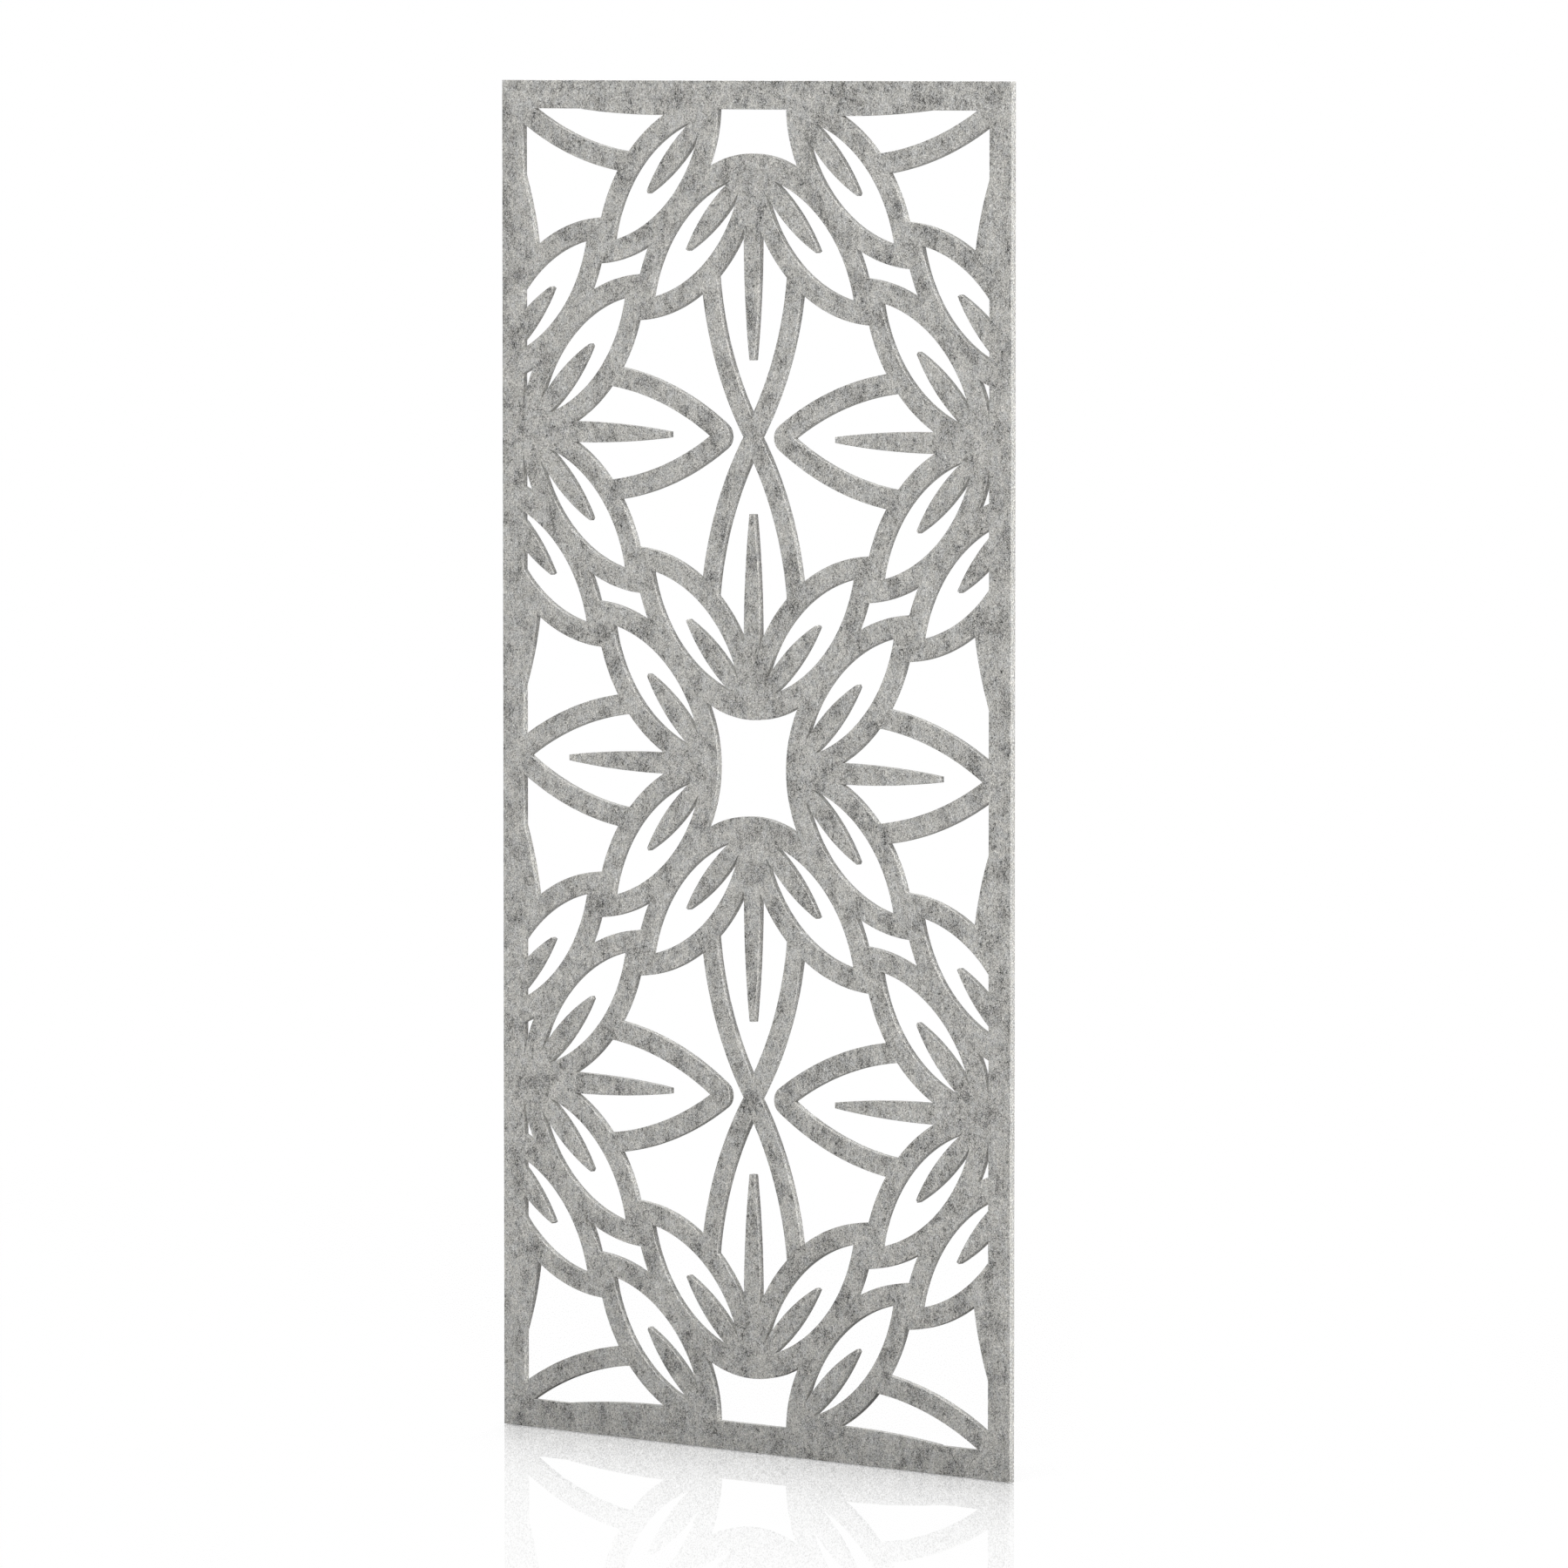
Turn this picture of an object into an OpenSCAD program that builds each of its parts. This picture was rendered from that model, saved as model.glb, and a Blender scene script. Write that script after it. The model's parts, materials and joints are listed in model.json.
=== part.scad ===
// Hanging room divider: one sheet of pressed felt, cut right through with a lattice of
// petal shapes and hung by two threaded sockets that are hidden in its top edge.
// X is the width, Y the thickness with the front face towards -Y, and Z points up.
// The origin is the middle of the top edge, halfway between the two sockets.

/* [Sheet] */
// Width of the felt sheet
sheet_w = 1200; // [1160:10:2400]
// Height of the felt sheet
sheet_h = 2400; // [1200:10:3000]
// Thickness of the felt sheet
sheet_t = 12; // [12:1:24]
// Plain border left all round the lattice
border_w = 50; // [48:1:120]

/* [Lattice] */
// Sideways distance between one row of flowers and the next
step_x = 634; // [600:1:700]
// Upward distance between one row of flowers and the next
step_z = 578; // [560:1:640]
// Width of the felt band round every petal
band_w = 36.5; // [20:0.5:45]
// Radius within which all the felt of a flower is joined
heart_r = 172; // [150:1:200]
// Nearest that any slot comes to a flower's centre
slots_from = 135; // [125:1:170]
// How far the lattice sits above the sheet's middle
lattice_up = 2; // [0:1:10]

/* [Eye] */
// Half width of the four-sided eye at a flower's centre
eye_half_w = 81; // [60:1:100]
// Half height of the eye
eye_half_h = 84.5; // [60:0.5:100]
// Radius of the eye's four inward-curved sides
eye_side_r = 232; // [200:1:400]

/* [Petals] */
// Flower centre to the cut tip of an upright petal
petal_tip = 541; // [480:1:550]
// How much nearer the flower's centre the sideways petals stand
sideways_in = 6; // [0:1:12]
// How far a petal's arcs would run on past the flower's centre
petal_tail = 60; // [40:1:100]
// Rise of a petal's two arcs from its centre line
petal_rise = 86; // [70:0.5:100]
// Radius that rounds a petal's outer tip
tip_round_r = 25; // [10:1:30]
// Flower centre to the blunt end of a petal's rib
rib_end = 444; // [380:1:455]
// Flower centre to where the rib's two arcs would meet
rib_tip = 482; // [465:1:500]
// How far the rib's arcs would run on past the flower's centre
rib_tail = 30; // [10:1:60]
// Rise of the rib's two arcs from its centre line
rib_rise = 18.5; // [14:0.5:26]

/* [Leaves] */
// Slanting leaf's tip, measured across from the petal it lies beside
leaf_tip_out = 239; // [225:1:255]
// Slanting leaf's tip, measured along the petal
leaf_tip_up = 338; // [320:1:350]
// Where a leaf's arcs meet inside the heart, measured across
leaf_root_out = 25; // [15:1:30]
// Where a leaf's arcs meet inside the heart, measured along the petal
leaf_root_up = 126; // [115:1:130]
// Rise of the leaf's arc on the petal's side
leaf_rise_in = 46; // [40:0.5:52]
// Rise of the leaf's arc on its far side
leaf_rise_out = 45.5; // [40:0.5:50]
// Leaf rib's blunt end, measured from the flower's centre
leaf_rib_end = 297; // [270:1:300]
// Where the leaf rib's arcs would meet beyond its end, measured across
leaf_rib_out = 160; // [154:1:166]
// Where the leaf rib's arcs would meet beyond its end, measured along the petal
leaf_rib_up = 260; // [252:1:264]
// Where the leaf rib's arcs meet inside the heart, measured along the petal
leaf_rib_root = 101; // [90:1:110]
// Rise of the leaf rib's arc on the petal's side
leaf_rib_rise_in = 18.5; // [14:0.5:24]
// Rise of the leaf rib's arc on its far side
leaf_rib_rise_out = 18.5; // [14:0.5:24]

/* [Hanging strip] */
// Length of the metal strip let into the top edge
strip_l = 1100; // [900:10:1140]
// Width of the strip across the sheet's thickness
strip_w = 8; // [8:0.5:9]
// Thickness of the strip, top to bottom
strip_t = 3; // [2.5:0.5:5]
// Clearance between the strip and its groove
strip_gap = 0.1; // [0.05:0.05:0.3]
// Number of screws along the strip
screw_count = 11; // [9:2:15]
// Distance from an end of the strip to the first screw
screw_end = 50; // [20:5:80]

/* [Screws] */
// Diameter of a screw's countersunk head
screw_head_d = 6; // [5:0.1:7]
// Height of the head's cone
screw_head_h = 1.7; // [1.2:0.1:2]
// Outer diameter of the screw's coarse thread
screw_d = 3; // [2.5:0.1:4]
// Diameter of the screw's core
screw_core_d = 2; // [1.6:0.1:2.4]
// Length of a screw, head included
screw_l = 40; // [25:1:44]
// Distance between turns of the screw's thread
screw_pitch = 2.5; // [1.5:0.1:3.5]
// Length of one arm of the cross cut in a screw's head
cross_l = 3.4; // [2:0.1:4]
// Width of the cross's arms
cross_w = 0.8; // [0.5:0.1:1]
// Depth of the cross
cross_depth = 1.2; // [0.8:0.1:1.4]
// Clearance round a screw and a socket, in the strip and in the felt
fastener_gap = 0.05; // [0.03:0.01:0.15]

/* [Sockets] */
// Number of screw steps between the two hanging sockets
socket_steps = 7; // [3:2:7]
// Diameter of a socket's barrel
barrel_d = 8; // [7.5:0.5:9]
// Length of the barrel below the strip
barrel_l = 36; // [30:1:42]
// Diameter of the neck that comes up through the strip
neck_d = 6.4; // [6:0.1:7]
// Bore of the M5 thread
thread_bore_d = 4.2; // [4.2:0.1:5]
// Depth of the threaded bore
thread_l = 25; // [15:1:30]

/* [Hidden] */
$fn = 180;
small_fn = 48;
overcut = 1;

window_w = sheet_w - 2 * border_w;
window_h = sheet_h - 2 * border_w;
columns = ceil((window_w / 2 + petal_tip) / step_x);
rows = ceil((window_h / 2 + petal_tip) / step_z);
eye_reach = 1.6 * max(eye_half_w, eye_half_h);
screw_step = (strip_l - 2 * screw_end) / (screw_count - 1);
socket_spacing = socket_steps * screw_step;

function arc_r(chord, rise) = (chord * chord / 4 + rise * rise) / (2 * rise);

// ---- shapes of the lattice, drawn flat, with a petal's axis along +Y ----

// Pointed shape between two points: the arc on the left rises rise_l from the line
// root-tip and the one on the right rises rise_r, and both are then pushed out by grow.
module lens(root, tip, rise_l, rise_r, grow = 0) {
    chord = norm(tip - root);
    middle = (tip + root) / 2;
    left = [root[1] - tip[1], tip[0] - root[0]] / chord;
    r_l = arc_r(chord, rise_l);
    r_r = arc_r(chord, rise_r);
    intersection() {
        translate(middle - left * (r_l - rise_l)) circle(r = r_l + grow);
        translate(middle + left * (r_r - rise_r)) circle(r = r_r + grow);
    }
}

module petal_cut() {
    lens([0, -petal_tail], [0, petal_tip], petal_rise, petal_rise);
}

// Outline of a petal and its band, with the outer tip rounded by a circle that touches
// both arcs.
module petal_outline() {
    r_in = arc_r(petal_tip + petal_tail, petal_rise);
    r_out = r_in + band_w;
    arc_x = r_in - petal_rise;
    arc_y = (petal_tip - petal_tail) / 2;
    round_y = sqrt(pow(r_out - tip_round_r, 2) - arc_x * arc_x);
    touch_y = arc_y + round_y * r_out / (r_out - tip_round_r);
    intersection() {
        lens([0, -petal_tail], [0, petal_tip], petal_rise, petal_rise, band_w);
        translate([-r_out, touch_y - 2 * r_out]) square(2 * r_out);
    }
    translate([0, arc_y + round_y]) circle(r = tip_round_r);
}

module petal_rib() {
    intersection() {
        lens([0, -rib_tail], [0, rib_tip], rib_rise, rib_rise);
        circle(r = rib_end);
    }
}

module leaf(grow = 0) {
    lens([leaf_root_out, leaf_root_up], [leaf_tip_out, leaf_tip_up], leaf_rise_in, leaf_rise_out, grow);
}

module leaf_rib() {
    intersection() {
        lens([0, leaf_rib_root], [leaf_rib_out, leaf_rib_up], leaf_rib_rise_in, leaf_rib_rise_out);
        circle(r = leaf_rib_end);
    }
}

// A leaf on each side of the petal.
module both_sides() {
    children();
    mirror([1, 0]) children();
}

// The felt's outline and the cuts of one fan: a petal between two leaves.
module fan_outline() {
    petal_outline();
    both_sides() leaf(band_w);
}

module fan_cuts() {
    difference() {
        petal_cut();
        petal_rib();
        both_sides() leaf(band_w);
    }
    both_sides() difference() {
        leaf();
        leaf_rib();
    }
}

// A flower has four fans, with the two sideways ones a little nearer its centre.
module each_fan() {
    for (turn = [0, 180]) {
        rotate(turn) children();
        rotate(turn + 90) translate([0, -sideways_in]) children();
    }
}

module eye() {
    difference() {
        square(2 * eye_reach, center = true);
        for (side = [-1, 1]) {
            translate([side * (eye_half_w + eye_side_r), 0]) circle(r = eye_side_r);
            translate([0, side * (eye_half_h + eye_side_r)]) circle(r = eye_side_r);
        }
    }
}

module flower_outline() {
    circle(r = heart_r);
    each_fan() fan_outline();
}

module flower_cuts() {
    eye();
    difference() {
        each_fan() fan_cuts();
        circle(r = slots_from);
    }
}

// Flowers stand in rows that are shifted by half a flower, as far as they reach the window.
module each_flower() {
    for (column = [-columns : columns], row = [-rows : rows]) {
        x = column * step_x;
        z = row * step_z;
        staggered = (column + row) % 2 == 0;
        reaches = abs(x) < window_w / 2 + petal_tip && abs(z) < window_h / 2 + petal_tip;
        if (staggered && reaches) translate([x, z + lattice_up]) children();
    }
}

module lattice_cuts() {
    intersection() {
        square([window_w, window_h], center = true);
        union() {
            difference() {
                square([window_w, window_h], center = true);
                each_flower() flower_outline();
            }
            each_flower() flower_cuts();
        }
    }
}

// ---- sub-parts ----

module at_screws() {
    for (i = [0 : screw_count - 1])
        translate([(i - (screw_count - 1) / 2) * screw_step, 0, 0]) children();
}

// Strip, or with grow its groove: a bar with round ends whose top is level with z = 0.
module strip_body(grow = 0, above = 0) {
    end_x = (strip_l - strip_w) / 2;
    translate([0, 0, -strip_t]) {
        for (side = [-1, 1])
            translate([side * end_x, 0, 0]) cylinder(d = strip_w + 2 * grow, h = strip_t + above);
        translate([-end_x, -strip_w / 2 - grow, 0])
            cube([2 * end_x, strip_w + 2 * grow, strip_t + above]);
    }
}

module felt_sheet() {
    color([0.62, 0.61, 0.59])
    difference() {
        rotate([90, 0, 0]) linear_extrude(sheet_t, center = true)
            translate([0, -sheet_h / 2]) difference() {
                square([sheet_w, sheet_h], center = true);
                lattice_cuts();
            }
        strip_body(strip_gap, overcut);
        at_screws() translate([0, 0, -screw_l - overcut])
            cylinder(d = screw_d + 2 * fastener_gap, h = screw_l + overcut, $fn = small_fn);
        for (side = [-1, 1])
            translate([side * socket_spacing / 2, 0, -strip_t - barrel_l - overcut])
                cylinder(d = barrel_d + 2 * fastener_gap, h = barrel_l + 2 * overcut, $fn = small_fn);
    }
}

module hanging_strip() {
    color([0.78, 0.79, 0.80])
    difference() {
        strip_body();
        at_screws() {
            translate([0, 0, -screw_head_h])
                cylinder(d1 = screw_d + 2 * fastener_gap, d2 = screw_head_d + 2 * fastener_gap,
                    h = screw_head_h, $fn = small_fn);
            translate([0, 0, -strip_t - overcut])
                cylinder(d = screw_d + 2 * fastener_gap, h = strip_t + overcut, $fn = small_fn);
        }
        for (side = [-1, 1])
            translate([side * socket_spacing / 2, 0, -strip_t - overcut])
                cylinder(d = neck_d + 2 * fastener_gap, h = strip_t + 2 * overcut, $fn = small_fn);
    }
}

// Barrel under the strip with a neck that fills the strip's hole, threaded from the top.
module socket(x) {
    color([0.66, 0.67, 0.69])
    translate([x, 0, 0]) difference() {
        union() {
            translate([0, 0, -strip_t - barrel_l]) cylinder(d = barrel_d, h = barrel_l, $fn = small_fn);
            translate([0, 0, -strip_t]) cylinder(d = neck_d, h = strip_t, $fn = small_fn);
        }
        translate([0, 0, -thread_l]) cylinder(d = thread_bore_d, h = thread_l + overcut, $fn = small_fn);
    }
}

module socket_left() { socket(-socket_spacing / 2); }
module socket_right() { socket(socket_spacing / 2); }

// One screw, its thread drawn as a row of coarse rings down to a point.
module screw() {
    shank = screw_head_h + screw_pitch;
    rings = floor((screw_l - shank - screw_d) / screw_pitch);
    core = screw_core_d / 2;
    thread = [for (i = [0 : rings - 1], tooth = [0, 1])
        [tooth == 0 ? core : screw_d / 2, -shank - (i + tooth / 2) * screw_pitch]];
    difference() {
        rotate_extrude($fn = small_fn) polygon(concat(
            [[0, 0], [screw_head_d / 2, 0], [screw_d / 2, -screw_head_h], [screw_d / 2, -shank + core / 2]],
            thread,
            [[core, -shank - rings * screw_pitch], [0, -screw_l]]));
        for (turn = [0, 90])
            rotate(turn) translate([-cross_l / 2, -cross_w / 2, -cross_depth])
                cube([cross_l, cross_w, cross_depth + overcut]);
    }
}

module strip_screws() {
    color([0.50, 0.51, 0.53])
    at_screws() screw();
}

felt_sheet();
hanging_strip();
socket_left();
socket_right();
strip_screws();
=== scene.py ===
# %% [markdown]
# # A hanging room divider of cut felt
# The object is one stiff board of pressed grey felt, 1.2 m wide, 2.4 m high and 12 mm
# thick. A lattice of petals is cut right through it, and a metal strip in its top edge
# carries the two threaded sockets that it hangs from. This lesson dresses the measured
# model: the felt gets soft cut edges, fibres and flecks, and the metal gets its threads,
# screw heads and finish. Everything is in metres, X across, Y through the board with the
# front towards -Y, and Z up from the top edge.

# %% Load the measured model
import json
import math

import bmesh
import bpy
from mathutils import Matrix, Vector, noise
from mathutils.geometry import delaunay_2d_cdt
from mathutils.kdtree import KDTree

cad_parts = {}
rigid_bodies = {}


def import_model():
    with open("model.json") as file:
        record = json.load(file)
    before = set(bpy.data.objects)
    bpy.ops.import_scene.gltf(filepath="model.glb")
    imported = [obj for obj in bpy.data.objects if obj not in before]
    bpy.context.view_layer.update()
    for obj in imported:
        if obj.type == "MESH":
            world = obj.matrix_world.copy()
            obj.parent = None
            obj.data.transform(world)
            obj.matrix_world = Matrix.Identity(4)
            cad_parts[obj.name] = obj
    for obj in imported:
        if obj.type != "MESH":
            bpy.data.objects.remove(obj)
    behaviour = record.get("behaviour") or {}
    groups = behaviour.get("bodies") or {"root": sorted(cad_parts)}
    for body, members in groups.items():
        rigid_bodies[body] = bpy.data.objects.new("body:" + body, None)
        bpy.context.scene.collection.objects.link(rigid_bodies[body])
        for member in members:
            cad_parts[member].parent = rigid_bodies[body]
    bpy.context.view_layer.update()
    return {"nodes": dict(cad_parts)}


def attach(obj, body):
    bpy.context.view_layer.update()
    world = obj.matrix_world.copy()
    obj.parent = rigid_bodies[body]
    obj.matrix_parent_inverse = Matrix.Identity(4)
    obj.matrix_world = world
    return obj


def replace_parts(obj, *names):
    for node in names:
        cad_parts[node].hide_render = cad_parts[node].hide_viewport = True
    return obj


for leftover in list(bpy.data.objects):
    bpy.data.objects.remove(leftover)
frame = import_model()
print("measured pieces:", len(frame["nodes"]))

# %% [markdown]
# ## Two helpers for node trees
# Materials and Geometry Nodes are both node trees. Long chains of Math nodes are hard to
# read, so a small class wraps a node's output and lets ordinary sums add the nodes. A
# second class adds every other kind of node in one way: its type, its settings, and what
# goes into its sockets.

# %% A wire that can be used in sums
class Wire:
    """One output of a node. A sum with it adds the Math nodes that work it out."""

    def __init__(self, tree, socket):
        self.tree, self.socket = tree, socket

    def out(self, name):
        """Another output of the same node."""
        outputs = self.socket.node.outputs
        return Wire(self.tree, next(s for s in outputs if s.name == name and s.enabled))

    def maths(self, operation, *values):
        return self.tree.add("ShaderNodeMath", {"operation": operation}, dict(enumerate(values)))

    def __add__(self, other):
        return self.maths("ADD", self, other)

    def __radd__(self, other):
        return self.maths("ADD", other, self)

    def __sub__(self, other):
        return self.maths("SUBTRACT", self, other)

    def __rsub__(self, other):
        return self.maths("SUBTRACT", other, self)

    def __mul__(self, other):
        return self.maths("MULTIPLY", self, other)

    def __rmul__(self, other):
        return self.maths("MULTIPLY", other, self)

    def __truediv__(self, other):
        return self.maths("DIVIDE", self, other)

    def __rtruediv__(self, other):
        return self.maths("DIVIDE", other, self)

    def __pow__(self, other):
        return self.maths("POWER", self, other)

    def __rpow__(self, other):
        return self.maths("POWER", other, self)

    def __neg__(self):
        return self.maths("MULTIPLY", self, -1.0)

    def __abs__(self):
        return self.maths("ABSOLUTE", self)

    def between(self, low, high):
        """0 at low, 1 at high, with a soft start and end."""
        return self.tree.add("ShaderNodeMapRange", {"interpolation_type": "SMOOTHSTEP"},
                             {"Value": self, "From Min": low, "From Max": high})


def larger(wire, other):
    return wire.maths("MAXIMUM", wire, other)


def smaller(wire, other):
    return wire.maths("MINIMUM", wire, other)


# %% A tree that adds its nodes in one way
class Tree:
    """A node tree, and the one way that this file adds nodes to it."""

    def __init__(self, nodes):
        self.nodes = nodes

    def add(self, kind, settings=None, sockets=None):
        node = self.nodes.nodes.new(kind)
        for name, value in (settings or {}).items():
            setattr(node, name, value)
        for name, value in (sockets or {}).items():
            socket = node.inputs[name] if isinstance(name, int) else next(
                s for s in node.inputs if s.name == name and s.enabled)
            self.feed(socket, value)
        return Wire(self, next((s for s in node.outputs if s.enabled), None))

    def feed(self, socket, value):
        if isinstance(value, Wire):
            self.nodes.links.new(value.socket, socket)
        elif isinstance(value, list):
            for one in value:
                self.nodes.links.new(one.socket, socket)
        else:
            socket.default_value = value

    def vector(self, x, y, z):
        return self.add("ShaderNodeCombineXYZ", None, {"X": x, "Y": y, "Z": z})

    def parts(self, vector):
        """The X, Y and Z of a vector, as outputs of their own."""
        return self.add("ShaderNodeSeparateXYZ", None, {"Vector": vector})


# %% [markdown]
# ## From a Geometry Nodes tree to a plain mesh
# Geometry Nodes suit anything with a rule, because one changed size remakes the whole
# shape. Each tree here has named inputs, and its result is turned into a plain mesh once,
# so that nothing on the finished piece is still live.

# %% Shape trees and the pieces made from them
class ShapeTree(Tree):
    """A Geometry Nodes tree whose sizes are named inputs."""

    def __init__(self, name, sizes, takes_mesh=False):
        super().__init__(bpy.data.node_groups.new(name, "GeometryNodeTree"))
        sides = self.nodes.interface
        sides.new_socket("Shape", in_out="OUTPUT", socket_type="NodeSocketGeometry")
        if takes_mesh:
            sides.new_socket("Mesh", in_out="INPUT", socket_type="NodeSocketGeometry")
        for label, value in sizes.items():
            kind = "NodeSocketInt" if isinstance(value, int) else "NodeSocketFloat"
            sides.new_socket(label, in_out="INPUT", socket_type=kind)
        self.sizes = sizes
        self.start = self.add("NodeGroupInput")

    def size(self, label):
        return self.start.out(label)

    def end(self, shape, material):
        self.coat = material
        whole = self.add("GeometryNodeRealizeInstances", None, {"Geometry": shape})
        coated = self.add("GeometryNodeSetMaterial", None, {
            "Geometry": whole, "Material": material})
        self.add("NodeGroupOutput", None, {"Shape": coated})


def in_scene(name, data):
    """A new object in the scene for the given mesh, lamp or camera."""
    thing = bpy.data.objects.new(name, data)
    bpy.context.scene.collection.objects.link(thing)
    return thing


def make_piece(name, tree, base=None):
    """Runs a shape tree on an object of its own and keeps the plain mesh."""
    piece = in_scene(name, base or bpy.data.meshes.new(name))
    live = piece.modifiers.new(name, "NODES")
    live.node_group = tree.nodes
    for item in tree.nodes.interface.items_tree:
        if item.in_out == "INPUT" and item.name in tree.sizes:
            live[item.identifier] = tree.sizes[item.name]
    shown = piece.evaluated_get(bpy.context.evaluated_depsgraph_get())
    mesh = bpy.data.meshes.new_from_object(shown)
    piece.modifiers.remove(live)
    mesh.materials.clear()
    mesh.materials.append(tree.coat)
    mesh.polygons.foreach_set("material_index", [0] * len(mesh.polygons))
    piece.data = mesh
    mesh.name = name
    return piece

# %% [markdown]
# ## The lattice
# The pattern is a flower of four petals, each between two slanting leaves, and the flowers
# stand in staggered rows. All its lines are arcs, so every shape is what two discs have in
# common, and bands are the same discs made larger. Drawing each cut by hand would be slow
# and uneven. A Geometry Nodes tree that joins and subtracts tall prisms follows the rule
# exactly, and the board is cut in one go.

# %% Sizes of the lattice
lattice_sizes = {
    "Sheet Width": 1.2, "Sheet Height": 2.4, "Sheet Thickness": 0.012, "Border": 0.05,
    "Step Across": 0.634, "Step Up": 0.578, "Lattice Lift": 0.002, "Band Width": 0.0365,
    "Heart Radius": 0.172, "Slots From": 0.135, "Eye Half Width": 0.081,
    "Eye Half Height": 0.0845, "Eye Side Radius": 0.232, "Petal Tip": 0.541,
    "Petal Tail": 0.06, "Petal Rise": 0.086, "Tip Round Radius": 0.025, "Rib End": 0.444,
    "Rib Tip": 0.482, "Rib Tail": 0.03, "Rib Rise": 0.0185, "Sideways In": 0.006,
    "Leaf Tip Out": 0.239, "Leaf Tip Up": 0.338, "Leaf Root Out": 0.025,
    "Leaf Root Up": 0.126, "Leaf Rise In": 0.046, "Leaf Rise Out": 0.0455,
    "Leaf Rib End": 0.297, "Leaf Rib Out": 0.16, "Leaf Rib Up": 0.26, "Leaf Rib Root": 0.101,
    "Leaf Rib Rise In": 0.0185, "Leaf Rib Rise Out": 0.0185, "Chord": 0.009,
    "Least Chords": 48,
}
lattice = ShapeTree("petal_lattice", lattice_sizes)
size = lattice.size
print("sizes the lattice is made from:", len(lattice_sizes))


# %% Prisms, and how they are moved and joined
def disc(radius, across=0.0, up=0.0, tall=8):
    """A round prism whose sides are short chords."""
    chords = radius * (2 * math.pi) / size("Chord") + size("Least Chords")
    prism = lattice.add("GeometryNodeMeshCylinder", {"fill_type": "NGON"}, {
        "Vertices": chords, "Radius": radius, "Depth": size("Sheet Thickness") * tall})
    return moved(prism, across, up)


def block(width, height, across=0.0, up=0.0, tall=8):
    """A four-sided prism. Prisms differ in height, so that no two end faces coincide."""
    cube = lattice.add("GeometryNodeMeshCube", None, {
        "Size": lattice.vector(width, height, size("Sheet Thickness") * tall)})
    return moved(cube, across, up)


def moved(shape, across, up, turn=0):
    return lattice.add("GeometryNodeTransform", None, {
        "Geometry": shape, "Translation": lattice.vector(across, up, 0.0),
        "Rotation": (0.0, 0.0, math.radians(turn))})


def solid_sum(tree, operation, sockets):
    return tree.add("GeometryNodeMeshBoolean", {"operation": operation, "solver": "MANIFOLD"},
                    sockets)


def joined(*shapes):
    return solid_sum(lattice, "UNION", {1: list(shapes)})


def shared(*shapes):
    return solid_sum(lattice, "INTERSECT", {1: list(shapes)})


def cut(shape, *cutters):
    return solid_sum(lattice, "DIFFERENCE", {0: shape, 1: list(cutters)})


# %% A lens between two points
def lens(root, tip, rise_left, rise_right, grow=0.0, tall=8):
    """What two discs share: a pointed shape from root to tip, pushed out by grow."""
    run_x, run_y = tip[0] - root[0], tip[1] - root[1]
    chord = (run_x * run_x + run_y * run_y) ** 0.5
    middle = (root[0] + tip[0]) / 2, (root[1] + tip[1]) / 2
    arcs = []
    for side, rise in ((-1, rise_left), (1, rise_right)):
        radius = (chord * chord / 4 + rise * rise) / (rise * 2)
        back = (radius - rise) * side / chord
        arcs.append(disc(radius + grow, middle[0] - run_y * back, middle[1] + run_x * back,
                         tall + side))
    return shared(*arcs)


# %% One petal, its rib and its band
petal_tip, petal_tail = size("Petal Tip"), size("Petal Tail")
petal_rise, band = size("Petal Rise"), size("Band Width")
tail_point, tip_point = (0.0, -petal_tail), (0.0, petal_tip)
petal = lens(tail_point, tip_point, petal_rise, petal_rise)
petal_rib = shared(lens((0.0, -size("Rib Tail")), (0.0, size("Rib Tip")), size("Rib Rise"),
                        size("Rib Rise"), tall=12),
                   disc(size("Rib End"), tall=16))
inner_r = ((petal_tip + petal_tail) ** 2 / 4 + petal_rise ** 2) / (petal_rise * 2)
outer_r = inner_r + band
round_r = size("Tip Round Radius")
arc_up = (petal_tip - petal_tail) / 2
round_up = ((outer_r - round_r) ** 2 - (inner_r - petal_rise) ** 2) ** 0.5
touch_up = arc_up + round_up * outer_r / (outer_r - round_r)
petal_band = joined(
    shared(lens(tail_point, tip_point, petal_rise, petal_rise, band),
           block(outer_r * 2, outer_r * 2, 0.0, touch_up - outer_r, tall=10)),
    disc(round_r, 0.0, arc_up + round_up))


# %% The leaves on both sides of a petal
def leaf(side, grow=0.0, tall=8):
    rises = (size("Leaf Rise In"), size("Leaf Rise Out"))[::side]
    return lens((size("Leaf Root Out") * side, size("Leaf Root Up")),
                (size("Leaf Tip Out") * side, size("Leaf Tip Up")), *rises, grow, tall)


def leaf_rib(side):
    rises = (size("Leaf Rib Rise In"), size("Leaf Rib Rise Out"))[::side]
    return shared(lens((0.0, size("Leaf Rib Root")),
                       (size("Leaf Rib Out") * side, size("Leaf Rib Up")), *rises, tall=12),
                  disc(size("Leaf Rib End"), tall=16))


leaf_bands = [leaf(side, band) for side in (1, -1)]
leaf_cutters = [leaf(side, band, tall=12) for side in (1, -1)]
fan_band = joined(petal_band, *leaf_bands)
fan_cuts = joined(cut(petal, petal_rib, *leaf_cutters),
                  *[cut(leaf(side), leaf_rib(side)) for side in (1, -1)])


# %% A whole flower, then all flowers
def four_fans(fan):
    """The sideways fans stand a little nearer the flower's centre than the upright ones."""
    near = size("Sideways In")
    return [moved(fan, 0.0, 0.0), moved(fan, 0.0, 0.0, 180),
            moved(fan, near, 0.0, 90), moved(fan, -near, 0.0, 270)]


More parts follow.
